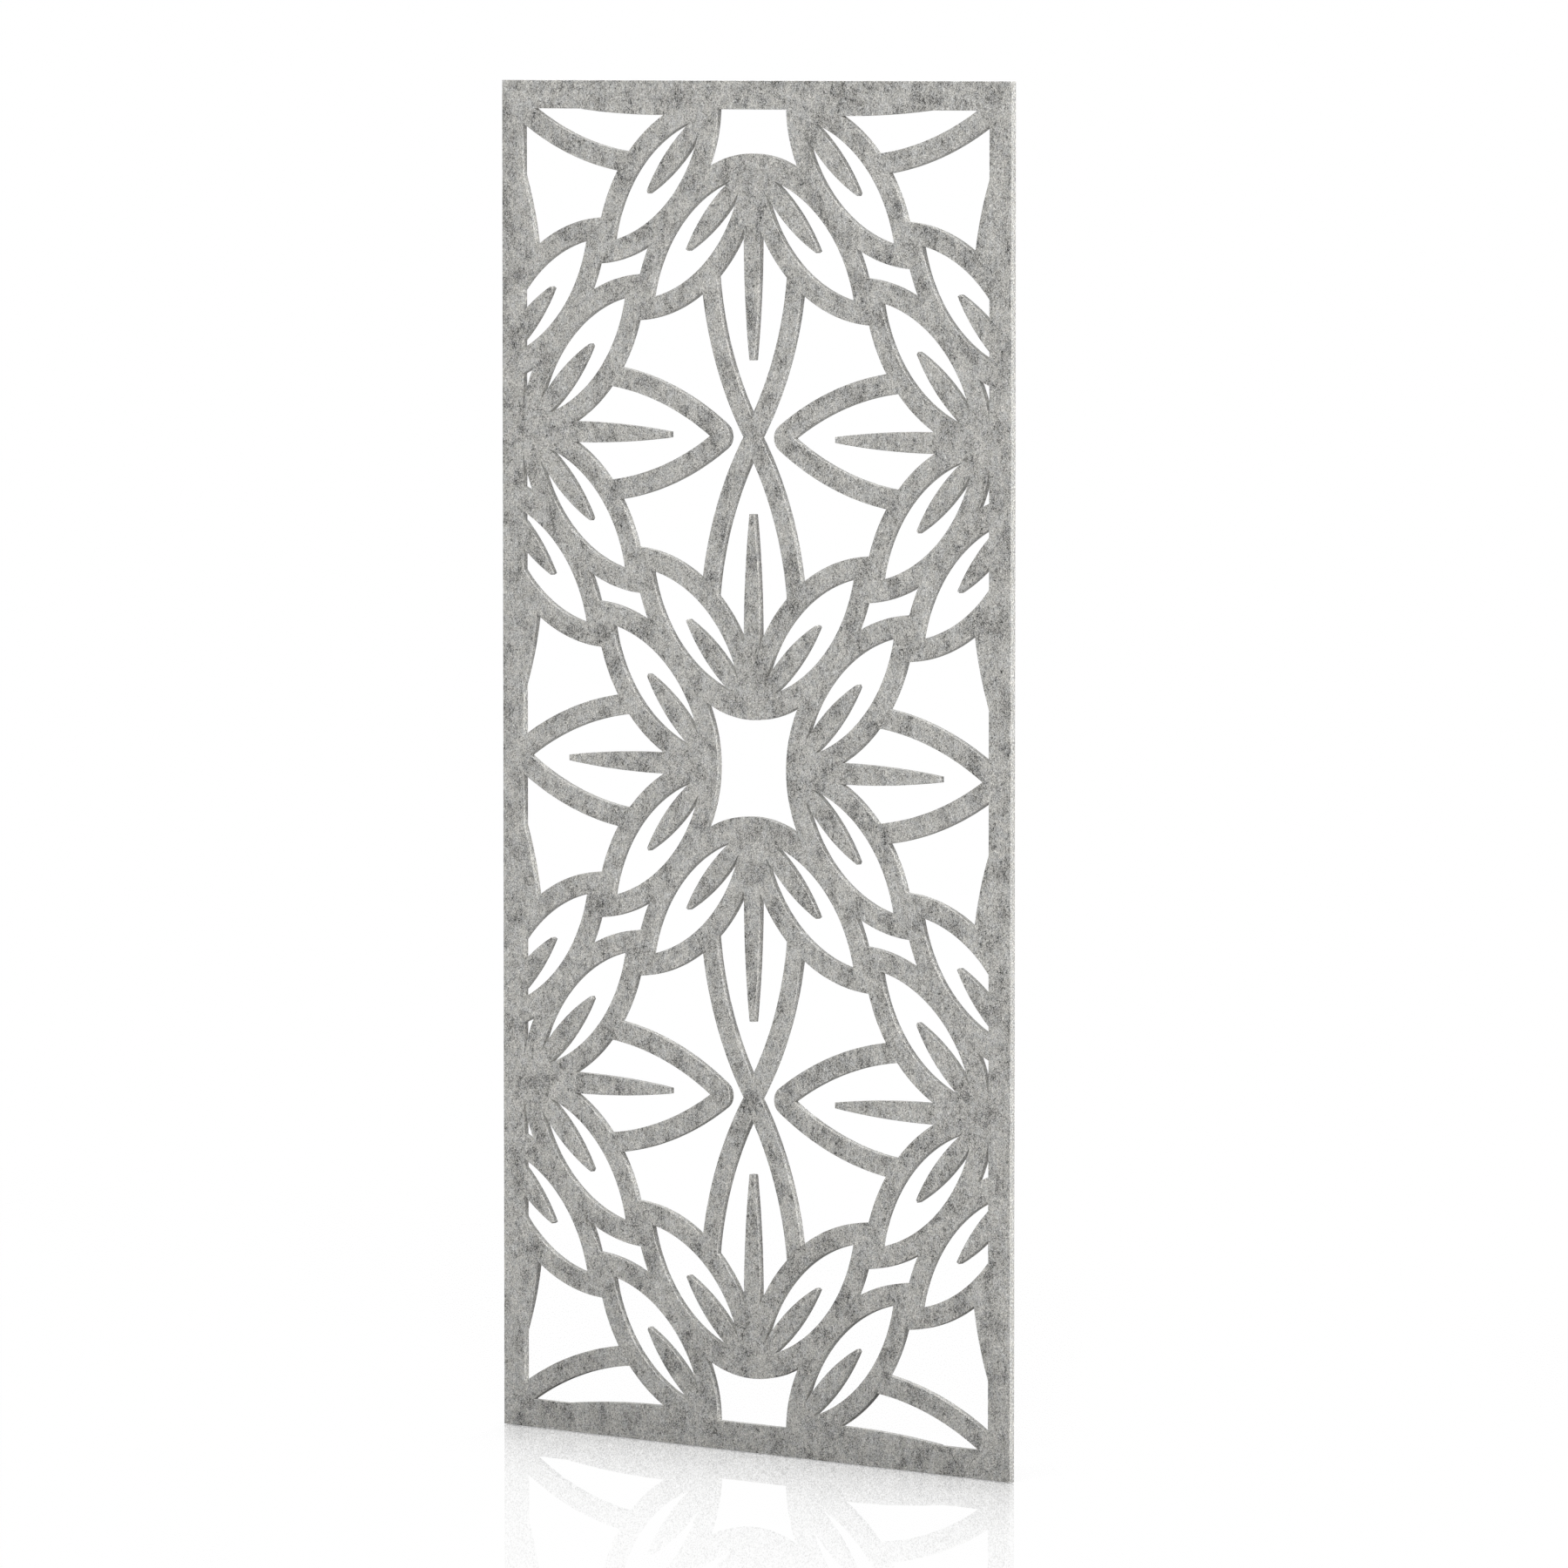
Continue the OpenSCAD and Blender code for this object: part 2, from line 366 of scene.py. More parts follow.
heart = size("Heart Radius")
flower_band = joined(disc(heart), *four_fans(fan_band))
eye_w, eye_h, eye_r = size("Eye Half Width"), size("Eye Half Height"), size("Eye Side Radius")
eye_blank = 3.2
eye = cut(block(eye_w * eye_blank, eye_h * eye_blank),
          *[disc(eye_r, (eye_w + eye_r) * side, 0.0, 12) for side in (1, -1)],
          *[disc(eye_r, 0.0, (eye_h + eye_r) * side, 12) for side in (1, -1)])
flower_cuts = joined(eye, cut(joined(*four_fans(fan_cuts)), disc(size("Slots From"), tall=12)))


def each_flower(flower, columns=3, rows=7):
    """A point grid without every other point, with a flower on each point that is left."""
    across, up = size("Step Across"), size("Step Up")
    grid = lattice.add("GeometryNodeMeshGrid", None, {
        "Size X": across * (columns - 1), "Size Y": up * (rows - 1),
        "Vertices X": columns, "Vertices Y": rows})
    place = lattice.parts(lattice.add("GeometryNodeInputPosition"))
    count = place.out("X") / across + place.out("Y") / up
    odd = abs(place.maths("MODULO", place.maths("ROUND", count), 2.0))
    kept = lattice.add("GeometryNodeDeleteGeometry", None, {"Geometry": grid, "Selection": odd})
    return moved(lattice.add("GeometryNodeInstanceOnPoints", None, {
        "Points": kept, "Instance": flower}), 0.0, size("Lattice Lift"))


# %% The board, cut through inside its border
window_w = size("Sheet Width") - size("Border") * 2
window_h = size("Sheet Height") - size("Border") * 2
between_bands = cut(block(window_w, window_h, tall=6), each_flower(flower_band))
through_bands = shared(joined(each_flower(flower_cuts)), block(window_w, window_h, tall=7))
board = cut(block(size("Sheet Width"), size("Sheet Height"), tall=1), between_bands, through_bands)
standing = lattice.add("GeometryNodeTransform", None, {
    "Geometry": board, "Translation": lattice.vector(0.0, 0.0, size("Sheet Height") / -2),
    "Rotation": (math.radians(90), 0.0, 0.0)})
felt = bpy.data.materials.new("felt_board")
lattice.end(standing, felt)
plain_board = make_piece("plain_board", lattice)
plain = plain_board.data
print("cut board:", len(plain.vertices), "corners,", len(plain.polygons), "faces")

# %% [markdown]
# ## Soft edges for the felt
# A blade through thick felt leaves an edge that is crisp but never knife sharp: the fibres
# stand up and round it by well under a millimetre. A Bevel modifier struggles on a flat
# face with 77 holes, so the outline of every cut is read from the plain board and the
# board is built again from it, in rings that roll from the face into the cut wall. The
# board also gets a hair's breadth of waviness, as pressed felt always has.

# %% Read the outline of every cut
def outlines(mesh, same_point=1e-5, front=-0.99):
    """Closed runs of points round the front face, with the felt on the left of each."""
    shell = bmesh.new()
    shell.from_mesh(mesh)
    bmesh.ops.remove_doubles(shell, verts=shell.verts, dist=same_point)
    follows = {}
    for face in shell.faces:
        if face.normal.y < front:
            for loop in face.loops:
                if loop.link_loop_radial_next.face.normal.y > front:
                    follows[loop.vert.index] = loop.link_loop_next.vert.index
    place = {v.index: Vector((v.co.x, v.co.z)) for v in shell.verts}
    shell.free()
    runs = []
    while follows:
        start, after = follows.popitem()
        run = [start]
        while after != start:
            run.append(after)
            after = follows.pop(after)
        runs.append([place[i] for i in run])
    return runs


def turn_at(before, here, after):
    """How far the outline turns at a point."""
    return abs((here - before).angle_signed(after - here, 0.0))


def even_run(run, corner=math.radians(20), least=0.0025, most=0.03):
    """Keeps every corner, drops points crowded against another, and splits long sides."""
    count = len(run)
    corners = [turn_at(run[i - 1], run[i], run[(i + 1) % count]) > corner for i in range(count)]
    if not any(corners):
        corners[0] = True
    first = corners.index(True)
    order = [(first + i) % count for i in range(count)] + [first]
    kept = [run[first]]
    for place, i in enumerate(order[1:], 1):
        ahead = next(run[j] for j in order[place:] if corners[j])
        gap = (run[i] - kept[-1]).length
        crowded = gap < least or (run[i] - ahead).length < least
        if not crowded or (corners[i] and gap > least / 5):
            kept.append(run[i])
    kept[-1] = run[first]
    spread = []
    for a, b in zip(kept, kept[1:]):
        parts = max(1, math.ceil((b - a).length / most))
        spread += [a.lerp(b, part / parts) for part in range(parts)]
    return spread


runs = [even_run(run) for run in outlines(plain)]
bpy.data.objects.remove(plain_board)
print("cuts and outer edge:", len(runs), "outlines,", sum(map(len, runs)), "points")

# %% Where each ring of the soft edge runs
sheet_w, sheet_h = lattice_sizes["Sheet Width"], lattice_sizes["Sheet Height"]
half_t = lattice_sizes["Sheet Thickness"] / 2
soft_edge, soft_edge_varies, varies_per_metre = 0.0008, 0.35, 60
edge_rings = ((1.0, 0.0), (0.29, 0.29), (0.0, 1.0))
wave_height, waves_across, waves_up, flat_down_to, grows_over = 0.0003, 5, 4, -0.06, 0.2


def wave(x, z):
    """The board's slight waviness, which dies out towards the strip in the top edge."""
    held = min(1.0, max(0.0, (flat_down_to - z) / grows_over))
    return wave_height * held * noise.noise(Vector((x * waves_across, z * waves_up, 3.7)))


def inward(run, sharpest=0.3):
    """For each point, the way into the felt that keeps a ring parallel to both its sides."""
    ways = []
    for i, here in enumerate(run):
        a = (here - run[i - 1]).normalized()
        b = (run[(i + 1) % len(run)] - here).normalized()
        middle = (a + b).normalized() if (a + b).length > 0.01 else a
        ways.append(Vector((-middle.y, middle.x)) / max(sharpest, middle.dot(a)))
    return ways


def ring_points(run, ways, share):
    """A soft edge is a little rounder in some places than in others."""
    found = []
    for p, way in zip(run, ways):
        spot = Vector((p.x * varies_per_metre, p.y * varies_per_metre, 0))
        wider = 1 + soft_edge_varies * noise.noise(spot)
        found.append(p + way * soft_edge * share * wider)
    return found


print("edge radius about", soft_edge * 1000, "mm")


# %% The flat faces, filled between the rings
def fill(loops, spare, same_point=1e-7):
    """Triangles on the left of closed loops of 2D points, with spare points inside."""
    flat, sides = [], set()
    for loop in loops:
        start = len(flat)
        flat += loop
        sides |= {(start + i, start + (i + 1) % len(loop)) for i in range(len(loop))}
    flat += spare
    _, _, cells, sources, _, _ = delaunay_2d_cdt(flat, sorted(sides), [], 0, same_point)
    if any(len(source) != 1 for source in sources):
        raise ValueError("two outlines touch or cross")
    cells = [tuple(sources[i][0] for i in cell) for cell in cells]
    owner = {(cell[i - 1], cell[i]): cell for cell in cells for i in range(3)}
    found, edge_of_search = set(), [owner[side] for side in sides]
    while edge_of_search:
        cell = edge_of_search.pop()
        if cell not in found:
            found.add(cell)
            edge_of_search += [owner[cell[i], cell[i - 1]] for i in range(3)
                               if (cell[i - 1], cell[i]) not in sides]
    return sorted(found)


def inside_points(runs, step=0.024, clear=0.008):
    """A grid of points that lie in the felt, clear of its edges."""
    edge_points = [p for run in runs for p in run]
    near = KDTree(len(edge_points))
    for index, p in enumerate(edge_points):
        near.insert((p.x, p.y, 0), index)
    near.balance()
    sides = [(p, q) for run in runs for p, q in zip(run, run[1:] + run[:1])]
    found = []
    rows, columns = int(sheet_h / step), int(sheet_w / step)
    for row in range(1, rows):
        z = -row * step
        crossings = sorted(p.x + (q.x - p.x) * (z - p.y) / (q.y - p.y)
                           for p, q in sides if (p.y > z) != (q.y > z))
        for column in range(1, columns):
            x = -sheet_w / 2 + (column + row % 2 / 2) * step
            within = sum(c < x for c in crossings) % 2 == 1
            if within and near.find((x, z, 0))[2] > clear:
                found.append(Vector((x, z)))
    return found


grid_points = inside_points(runs)
print("points inside the felt:", len(grid_points))

# %% The seats in the top edge for the strip, sockets and screws
strip_l, strip_w, strip_t, strip_gap = 1.1, 0.008, 0.003, 0.0001
socket_x, barrel_r, barrel_end = 0.35, 0.004, 0.039
screw_xs = [-0.5 + 0.1 * i for i in range(11)]
screw_r, screw_l, fit_gap, spare_depth = 0.0015, 0.04, 0.00005, 0.001


def round_run(x, radius, steps=32):
    """A circle seen from above, with the felt outside it on the left."""
    turns = [2 * math.pi * i / steps for i in range(steps)]
    return [Vector((x + radius * math.cos(t), -radius * math.sin(t))) for t in turns]


def slot_run(length, width, steps=16):
    """The outline of a bar with round ends, seen from above, with the felt on the left."""
    reach, radius = (length - width) / 2, width / 2
    turns = [math.pi * (0.5 - i / steps) for i in range(steps + 1)]
    right = [Vector((reach + radius * math.cos(t), radius * math.sin(t))) for t in turns]
    return right + [-p for p in right]


slot = slot_run(strip_l + 2 * strip_gap, strip_w + 2 * strip_gap)
socket_xs = (-socket_x, socket_x)
seats = [(round_run(x, barrel_r + fit_gap), -barrel_end - spare_depth) for x in socket_xs]
seats += [(round_run(x, screw_r + fit_gap, steps=12), -screw_l - spare_depth) for x in screw_xs]
print("seats under the strip:", len(seats))


# %% A mesh that is built up from rings
class Shell:
    """A closed mesh made of rings of points, with the solid on the left of each ring."""

    def __init__(self):
        self.points, self.faces = [], []

    def ring(self, found):
        """Adds points and returns their numbers."""
        self.points.extend(found)
        return list(range(len(self.points) - len(found), len(self.points)))

    def band(self, *levels):
        """Quads between each ring and the next, which face away from the solid."""
        for near, far in zip(levels, levels[1:]):
            for i in range(len(near)):
                j = (i + 1) % len(near)
                self.faces.append((near[i], far[i], far[j], near[j]))

    def cap(self, loops, names, spare=(), spare_names=(), turned=False):
        """A flat face whose triangles use points that are in the mesh already."""
        known = [name for ring in names for name in ring] + list(spare_names)
        for triangle in fill(loops, list(spare)):
            corners = [known[i] for i in triangle]
            self.faces.append(tuple(corners[::-1] if turned else corners))

    def lid(self, ring):
        """A flat face that closes the bottom of a hole or a barrel."""
        self.faces.append(tuple(ring[::-1]))

    def piece(self, name, material):
        made = in_scene(name, bpy.data.meshes.new(name))
        made.data.from_pydata(self.points, [], self.faces)
        made.data.materials.append(material)
        triangles = sum(len(face) - 2 for face in self.faces)
        print(name + ":", len(self.points), "points,", triangles, "triangles")
        return made


# %% The felt's faces and cut walls, ring by ring
def upright(run, y):
    """A run of points stood up at depth y in the board, with its waviness."""
    return [Vector((p.x, y + wave(p.x, p.y), p.y)) for p in run]


body = Shell()
face_loops, face_names = {-1: [], 1: []}, {-1: [], 1: []}
for run in runs:
    ways, levels = inward(run), []
    for side in (-1, 1):
        for share, depth in edge_rings:
            ring = ring_points(run, ways, share)
            levels.append(body.ring(upright(ring, side * (half_t - soft_edge * depth))))
            if share == 1.0:
                face_loops[side].append(ring)
                face_names[side].append(levels[-1])
    body.band(*levels[:3], *levels[:2:-1])
for side in (-1, 1):
    spare_names = body.ring(upright(grid_points, side * half_t))
    body.cap(face_loops[side], face_names[side], grid_points, spare_names, turned=side > 0)
print("felt so far:", len(body.points), "points,", len(body.faces), "faces")


# %% The groove and seats in the top edge
def level(run, z):
    """A flat run of points, laid level at height z."""
    return [Vector((p.x, p.y, z)) for p in run]


def is_top(face, flush=1e-6):
    """Whether a face spans the top edge from front to back."""
    corners = [body.points[i] for i in face]
    return all(p.z > -flush for p in corners) and len({p.y > 0 for p in corners}) == 2


def along_top(side):
    """The top edge's corners on one side, in the order that keeps the felt on the left."""
    found = [i for i in top_names if body.points[i].y * side > 0]
    return sorted(found, key=lambda i: -body.points[i].x * side)


top_names = {i for face in body.faces if is_top(face) for i in face}
body.faces = [face for face in body.faces if not is_top(face)]
top_ring = along_top(-1) + along_top(1)
edge_loop = [body.points[i].xy for i in top_ring]
slot_top, slot_floor = body.ring(level(slot, 0.0)), body.ring(level(slot, -strip_t))
body.cap([edge_loop, slot], [top_ring, slot_top])
body.band(slot_top, slot_floor)
mouths = [body.ring(level(seat, -strip_t)) for seat, _ in seats]
body.cap([slot[::-1]] + [seat for seat, _ in seats], [slot_floor[::-1]] + mouths)
for (seat, end), mouth in zip(seats, mouths):
    bottom = body.ring(level(seat, end))
    body.band(mouth, bottom)
    body.lid(bottom)
felt_panel = body.piece("felt_panel", felt)


# %% Smooth along the rolled edges, crisp where a blade turned
def set_creases(piece, flat_axis, limit=math.radians(50), weld=0.0):
    """Smooth shading, but for sharp corners and the rims of faces square to flat_axis."""
    flat_limit, square_on = math.radians(15), 0.995
    shell = bmesh.new()
    shell.from_mesh(piece.data)
    if weld:
        bmesh.ops.remove_doubles(shell, verts=shell.verts, dist=weld)
    shell.normal_update()
    for edge in shell.edges:
        bend = edge.calc_face_angle(0.0)
        flat = any(abs(face.normal[flat_axis]) > square_on for face in edge.link_faces)
        edge.smooth = not (bend > limit or (flat and bend > flat_limit))
    for face in shell.faces:
        face.smooth = True
    shell.to_mesh(piece.data)
    shell.free()
    return piece


set_creases(felt_panel, flat_axis=1)
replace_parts(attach(felt_panel, "root"), "felt_sheet")

# %% [markdown]
# ## Loose fibres on the cut walls
# However sharp the blade, some fibre ends stand out of the cut. A hair system would do it,
# but the finished piece has to be a plain mesh. Points scattered over the walls with a
# fixed seed, each with one thin bent cone, give the same look with ten triangles a fibre.

# %% Sizes of the fuzz
fuzz_sizes = {
    "Fibres Per Square Metre": 20000.0, "Fibre Radius": 0.00005, "Longest": 0.0045,
    "Shortest Share": 0.3, "Bend": 0.45, "Lean": math.radians(65), "Keep Below Strip": 0.0425,
    "Keep Above Floor": 2.399, "Fuzz Seed": 3,
}
fuzz = ShapeTree("loose_fibres", fuzz_sizes, takes_mesh=True)
fuzz_size = fuzz.size
print("sizes the fuzz is made from:", len(fuzz_sizes))

# %% One fibre on each point of the walls
outwards = fuzz.parts(fuzz.add("GeometryNodeInputNormal"))
spot = fuzz.parts(fuzz.add("GeometryNodeInputPosition"))
face_on = 0.9
is_wall = spot.maths("LESS_THAN", abs(outwards.out("Y")), face_on)
below_strip = spot.maths("LESS_THAN", spot.out("Z"), -fuzz_size("Keep Below Strip"))
above_floor = spot.maths("GREATER_THAN", spot.out("Z"), -fuzz_size("Keep Above Floor"))
scatter = fuzz.add("GeometryNodeDistributePointsOnFaces", None, {
    "Mesh": fuzz.start.out("Mesh"), "Selection": is_wall * below_strip * above_floor,
    "Density": fuzz_size("Fibres Per Square Metre"), "Seed": fuzz_size("Fuzz Seed")})
cone = fuzz.add("GeometryNodeMeshCone", {"fill_type": "NGON"}, {
    "Vertices": 3, "Side Segments": 2, "Radius Top": 0.0,
    "Radius Bottom": fuzz_size("Fibre Radius"), "Depth": fuzz_size("Longest")})
along = fuzz.parts(fuzz.add("GeometryNodeInputPosition")).out("Z")
sideways = along * along / fuzz_size("Longest") * fuzz_size("Bend")
fibre = fuzz.add("GeometryNodeSetPosition", None, {
    "Geometry": cone, "Offset": fuzz.vector(sideways, 0.0, 0.0)})
lean = fuzz_size("Lean")
tilt = fuzz.add("FunctionNodeRandomValue", {"data_type": "FLOAT_VECTOR"}, {
    "Min": fuzz.vector(-lean, -lean, 0.0), "Max": fuzz.vector(lean, lean, 2 * math.pi),
    "Seed": fuzz_size("Fuzz Seed") + 1})
share = fuzz.add("FunctionNodeRandomValue", {"data_type": "FLOAT"}, {
    "Min": fuzz_size("Shortest Share"), "Max": 1.0, "Seed": fuzz_size("Fuzz Seed") + 2})
planted = fuzz.add("GeometryNodeInstanceOnPoints", None, {
    "Points": scatter, "Instance": fibre, "Rotation": scatter.out("Rotation"),
    "Scale": fuzz.vector(1.0, 1.0, share)})
leaning = fuzz.add("GeometryNodeRotateInstances", None, {"Instances": planted, "Rotation": tilt})
loose_fibre = bpy.data.materials.new("loose_fibre")
fuzz.end(leaning, loose_fibre)
fibre_piece = make_piece("loose_edge_fibres", fuzz, felt_panel.data.copy())
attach(fibre_piece, "root")
faces_each = 7
print("loose fibres:", len(fibre_piece.data.polygons) // faces_each)

# %% [markdown]
# ## The strip that carries the panel
# A flat aluminium bar lies in the groove and spreads the pull of the two sockets along the
# felt. A Boolean could drill it, but then its edges would be knife sharp. Built from rings
# like the felt, each edge and each countersink gets its broken edge as it is made.

# %% Strip
edge_break, socket_break, screw_break_w, screw_break_h = 0.00025, 0.00015, 0.0001, 0.00008
head_r, head_h, neck_r = 0.003, 0.0017, 0.0032
strip_metal = bpy.data.materials.new("strip_aluminium")
bar = Shell()
rim = slot_run(strip_l, strip_w)[::-1]
rim_inside = slot_run(strip_l - 2 * edge_break, strip_w - 2 * edge_break)[::-1]
sides = [bar.ring(level(run, z)) for run, z in (
    (rim_inside, 0.0), (rim, -edge_break), (rim, edge_break - strip_t), (rim_inside, -strip_t))]
bar.band(*sides)
screw_hole = ((head_r + fit_gap + screw_break_w, 0.0), (head_r + fit_gap, -screw_break_h),
              (screw_r + fit_gap, -head_h), (screw_r + fit_gap, -strip_t))
socket_hole = ((neck_r + fit_gap + socket_break, 0.0), (neck_r + fit_gap, -socket_break),
               (neck_r + fit_gap, -strip_t))
holes = [(x, screw_hole) for x in screw_xs] + [(x, socket_hole) for x in socket_xs]
walls = [[(round_run(x, radius), z) for radius, z in hole] for x, hole in holes]
hole_rings = [[bar.ring(level(run, z)) for run, z in wall] for wall in walls]
for rings in hole_rings:
    bar.band(*rings)
for end, turned in ((0, False), (-1, True)):
    bar.cap([rim_inside] + [wall[end][0] for wall in walls],
            [sides[end]] + [rings[end] for rings in hole_rings], turned=turned)
strip = set_creases(bar.piece("top_edge_strip", strip_metal), flat_axis=2)
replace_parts(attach(strip, "root"), "hanging_strip")

# %% [markdown]
# ## Two threaded sockets
# The panel hangs from two M5 rods or hooks, so each socket needs a real inside thread. A
# thread is a ring whose radius rises and falls with height and with the turn. Rings set
# closely enough follow that rule, with no helix to join up at its ends.

# %% Sockets
thread_r, bore_r, thread_end, pitch = 0.0025, 0.0021, 0.025, 0.0008
first_row, mouth_wide, neck_break = 0.0007, 0.0003, 0.0002
shoulder_break, foot_break, drill_tip_h = 0.0004, 0.0006, 0.001
socket_metal = bpy.data.materials.new("socket_steel")


def thread_depth(turn, down):
    """How far the thread's groove is cut into the bore, 0 at its crest and 1 at its root."""
    phase = (down / pitch + turn / (2 * math.pi)) % 1.0
    runs_out = min(1.0, (thread_end - down) / (2 * pitch))
    return max(0.0, 1.125 - abs(phase - 0.5) * 2.5) * max(0.0, runs_out)


def socket_rings(x, steps=32, rows_each_turn=8):
    """The bore from its bottom up, over the mouth, and down the outside."""
    turns = [2 * math.pi * i / steps for i in range(steps)]
    rows = int(thread_end / pitch) * rows_each_turn
    downs = [first_row + (thread_end - first_row) * (1 - row / rows) for row in range(rows + 1)]
    bore = [(down, [bore_r + (thread_r - bore_r) * thread_depth(t, down) for t in turns])
            for down in downs]
    outside = [(0.0, thread_r + mouth_wide), (0.0, neck_r - neck_break), (neck_break, neck_r),
               (strip_t, neck_r), (strip_t, barrel_r - shoulder_break),
               (strip_t + shoulder_break, barrel_r), (barrel_end - foot_break, barrel_r),
               (barrel_end, barrel_r - foot_break)]
    for down, radii in bore + [(down, [radius] * steps) for down, radius in outside]:
        yield [Vector((x + r * math.cos(t), r * math.sin(t), -down)) for r, t in zip(radii, turns)]


for side, node in ((-1, "socket_left"), (1, "socket_right")):
    barrel = Shell()
    levels = [barrel.ring(ring) for ring in socket_rings(side * socket_x)]
    barrel.band(*levels)
    tip = Vector((side * socket_x, 0.0, -thread_end - drill_tip_h))
    drill_tip = barrel.ring([tip] * len(levels[0]))
    barrel.band(drill_tip, levels[0])  # the tip's points are welded into one below
    barrel.lid(levels[-1])
    socket = barrel.piece(node.replace("socket", "threaded_socket"), socket_metal)
    set_creases(socket, flat_axis=2, limit=math.radians(40), weld=1e-7)
    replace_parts(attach(socket, "root"), node)

# %% [markdown]
# ## A row of screws
# Eleven like screws hold the strip down. One Geometry Nodes tree bends a flat grid into a
# screw: the distance across the grid becomes the turn, the distance along it becomes the
# way down, and one radius rule gives the head, the shank, the thread and the point. The
# screw is then set on a row of points, each turned by a different amount as real ones are.

# %% Sizes of a screw
screw_sizes = {
    "Screws": 11, "Screw Step": 0.1, "Head Radius": head_r, "Head Height": head_h,
    "Thread Radius": screw_r, "Core Radius": 0.001, "Length": screw_l, "Thread Pitch": 0.0025,
    "Thread Start": 0.0042, "Point Slope": 0.45, "Cross Length": 0.0034, "Cross Width": 0.0009,
    "Cross Depth": 0.0013, "Steps Round": 24, "Rows": 180, "Turn Seed": 7,
}
screws = ShapeTree("strip_screw_row", screw_sizes)
screw_size = screws.size
print("sizes a screw is made from:", len(screw_sizes))

# %% One screw
sheet = screws.add("GeometryNodeMeshGrid", None, {
    "Size X": 1.0, "Size Y": 1.0, "Vertices X": screw_size("Steps Round") + 1,
    "Vertices Y": screw_size("Rows")})
on_sheet = screws.parts(screws.add("GeometryNodeInputPosition"))
turn = (on_sheet.out("X") + 0.5) * (2 * math.pi)
screw_head, screw_thread = screw_size("Head Radius"), screw_size("Thread Radius")
travel = (0.5 - on_sheet.out("Y")) * (screw_size("Length") + screw_head)
down = larger(travel - screw_head, 0.0)
slope = (screw_head - screw_thread) / screw_size("Head Height")
head = larger(screw_head - down * slope, screw_thread)
phase = down.maths("FRACT", down / screw_size("Thread Pitch") + turn / (2 * math.pi))
ridge = larger(1.0 - abs(phase - 0.5) * 4.0, 0.0)
core = screw_size("Core Radius")
thread = core + (screw_thread - core) * ridge
thread_start, rises_over = screw_size("Thread Start"), 0.001
threaded = down.between(thread_start, thread_start + rises_over)
shank = head + (thread - head) * threaded
point = (screw_size("Length") - down) * screw_size("Point Slope")
radius = smaller(smaller(shank, point), travel)
cosine, sine = turn.maths("COSINE", turn), turn.maths("SINE", turn)
round_place = screws.vector(radius * cosine, radius * sine, -down)
bent = screws.add("GeometryNodeSetPosition", None, {"Geometry": sheet, "Position": round_place})
closed = screws.add("GeometryNodeMergeByDistance", None, {"Geometry": bent, "Distance": 2e-6})
print("screw tree:", len(screws.nodes.nodes), "nodes so far")


# %% The cross in its head, and the row
def cross_arm(width, length):
    """A four-sided wedge that is narrower below, which a driver's blade would fill."""
    wider, narrower, to_corner = 1.25, 0.75, math.sqrt(0.5)
    wedge = screws.add("GeometryNodeMeshCone", {"fill_type": "NGON"}, {
        "Vertices": 4, "Radius Top": to_corner * wider, "Radius Bottom": to_corner * narrower,
        "Depth": 2.0})
    square = screws.add("GeometryNodeTransform", None, {
        "Geometry": wedge, "Rotation": (0.0, 0.0, math.radians(45)),
        "Translation": (0.0, 0.0, -1.0)})
    return screws.add("GeometryNodeTransform", None, {
        "Geometry": square, "Scale": screws.vector(width, length, screw_size("Cross Depth"))})


cross_w, cross_l = screw_size("Cross Width"), screw_size("Cross Length")
cross = solid_sum(screws, "UNION", {1: [cross_arm(cross_w, cross_l), cross_arm(cross_l, cross_w)]})
screw = solid_sum(screws, "DIFFERENCE", {0: closed, 1: [cross]})
first = (screw_size("Screws") - 1.0) * screw_size("Screw Step") / -2.0
row = screws.add("GeometryNodeMeshLine", None, {
    "Count": screw_size("Screws"), "Start Location": screws.vector(first, 0.0, 0.0),
    "Offset": screws.vector(screw_size("Screw Step"), 0.0, 0.0)})
any_turn = screws.add("FunctionNodeRandomValue", {"data_type": "FLOAT"}, {
    "Min": 0.0, "Max": math.pi / 2, "Seed": screw_size("Turn Seed")})
screw_metal = bpy.data.materials.new("screw_steel")
screws.end(screws.add("GeometryNodeInstanceOnPoints", None, {
    "Points": row, "Instance": screw, "Rotation": screws.vector(0.0, 0.0, any_turn)}), screw_metal)
screw_row = set_creases(make_piece("strip_screw_row", screws), flat_axis=2, limit=math.radians(40))
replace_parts(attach(screw_row, "root"), "strip_screws")
print("screws:", len(screw_row.data.polygons), "faces")

# %% [markdown]
# ## The camera
# The panel's four corners in the photograph fix where the camera stood: far off, to the
# right, about level with the top edge, with a long lens. Placing it there gives the same
# outline and shows the same cut walls.

# %% Camera
camera = in_scene("camera", bpy.data.cameras.new("camera"))
camera.location = (12.8025, -13.9973, 0.0606)
camera.rotation_euler = (math.radians(86.121), 0.0, math.radians(42.288))
camera.data.lens = 250.0
camera.data.sensor_width = 36.0
camera.data.clip_end = 200.0
bpy.context.scene.camera = camera
print("camera is", round(camera.location.length, 2), "m from the top edge")

# %% [markdown]
# ## Felt that looks pressed from fibres
# Pressed felt is recycled fibre of many greys, needled into a board. Close up it shows
# dark and pale flecks, thin fibres that lie every way, and clouds where darker fibre has
# gathered. The cut walls show the same fibre in thin layers. One noise would look like
# cement, so each of these is a pattern of its own, read from the board's own coordinates.

# %% A material's tree and its patterns
def emptied(owner):
    """The node tree of a material or a world, without the nodes that it starts with."""
    owner.use_nodes = True
    owner.node_tree.nodes.clear()
    return owner.node_tree


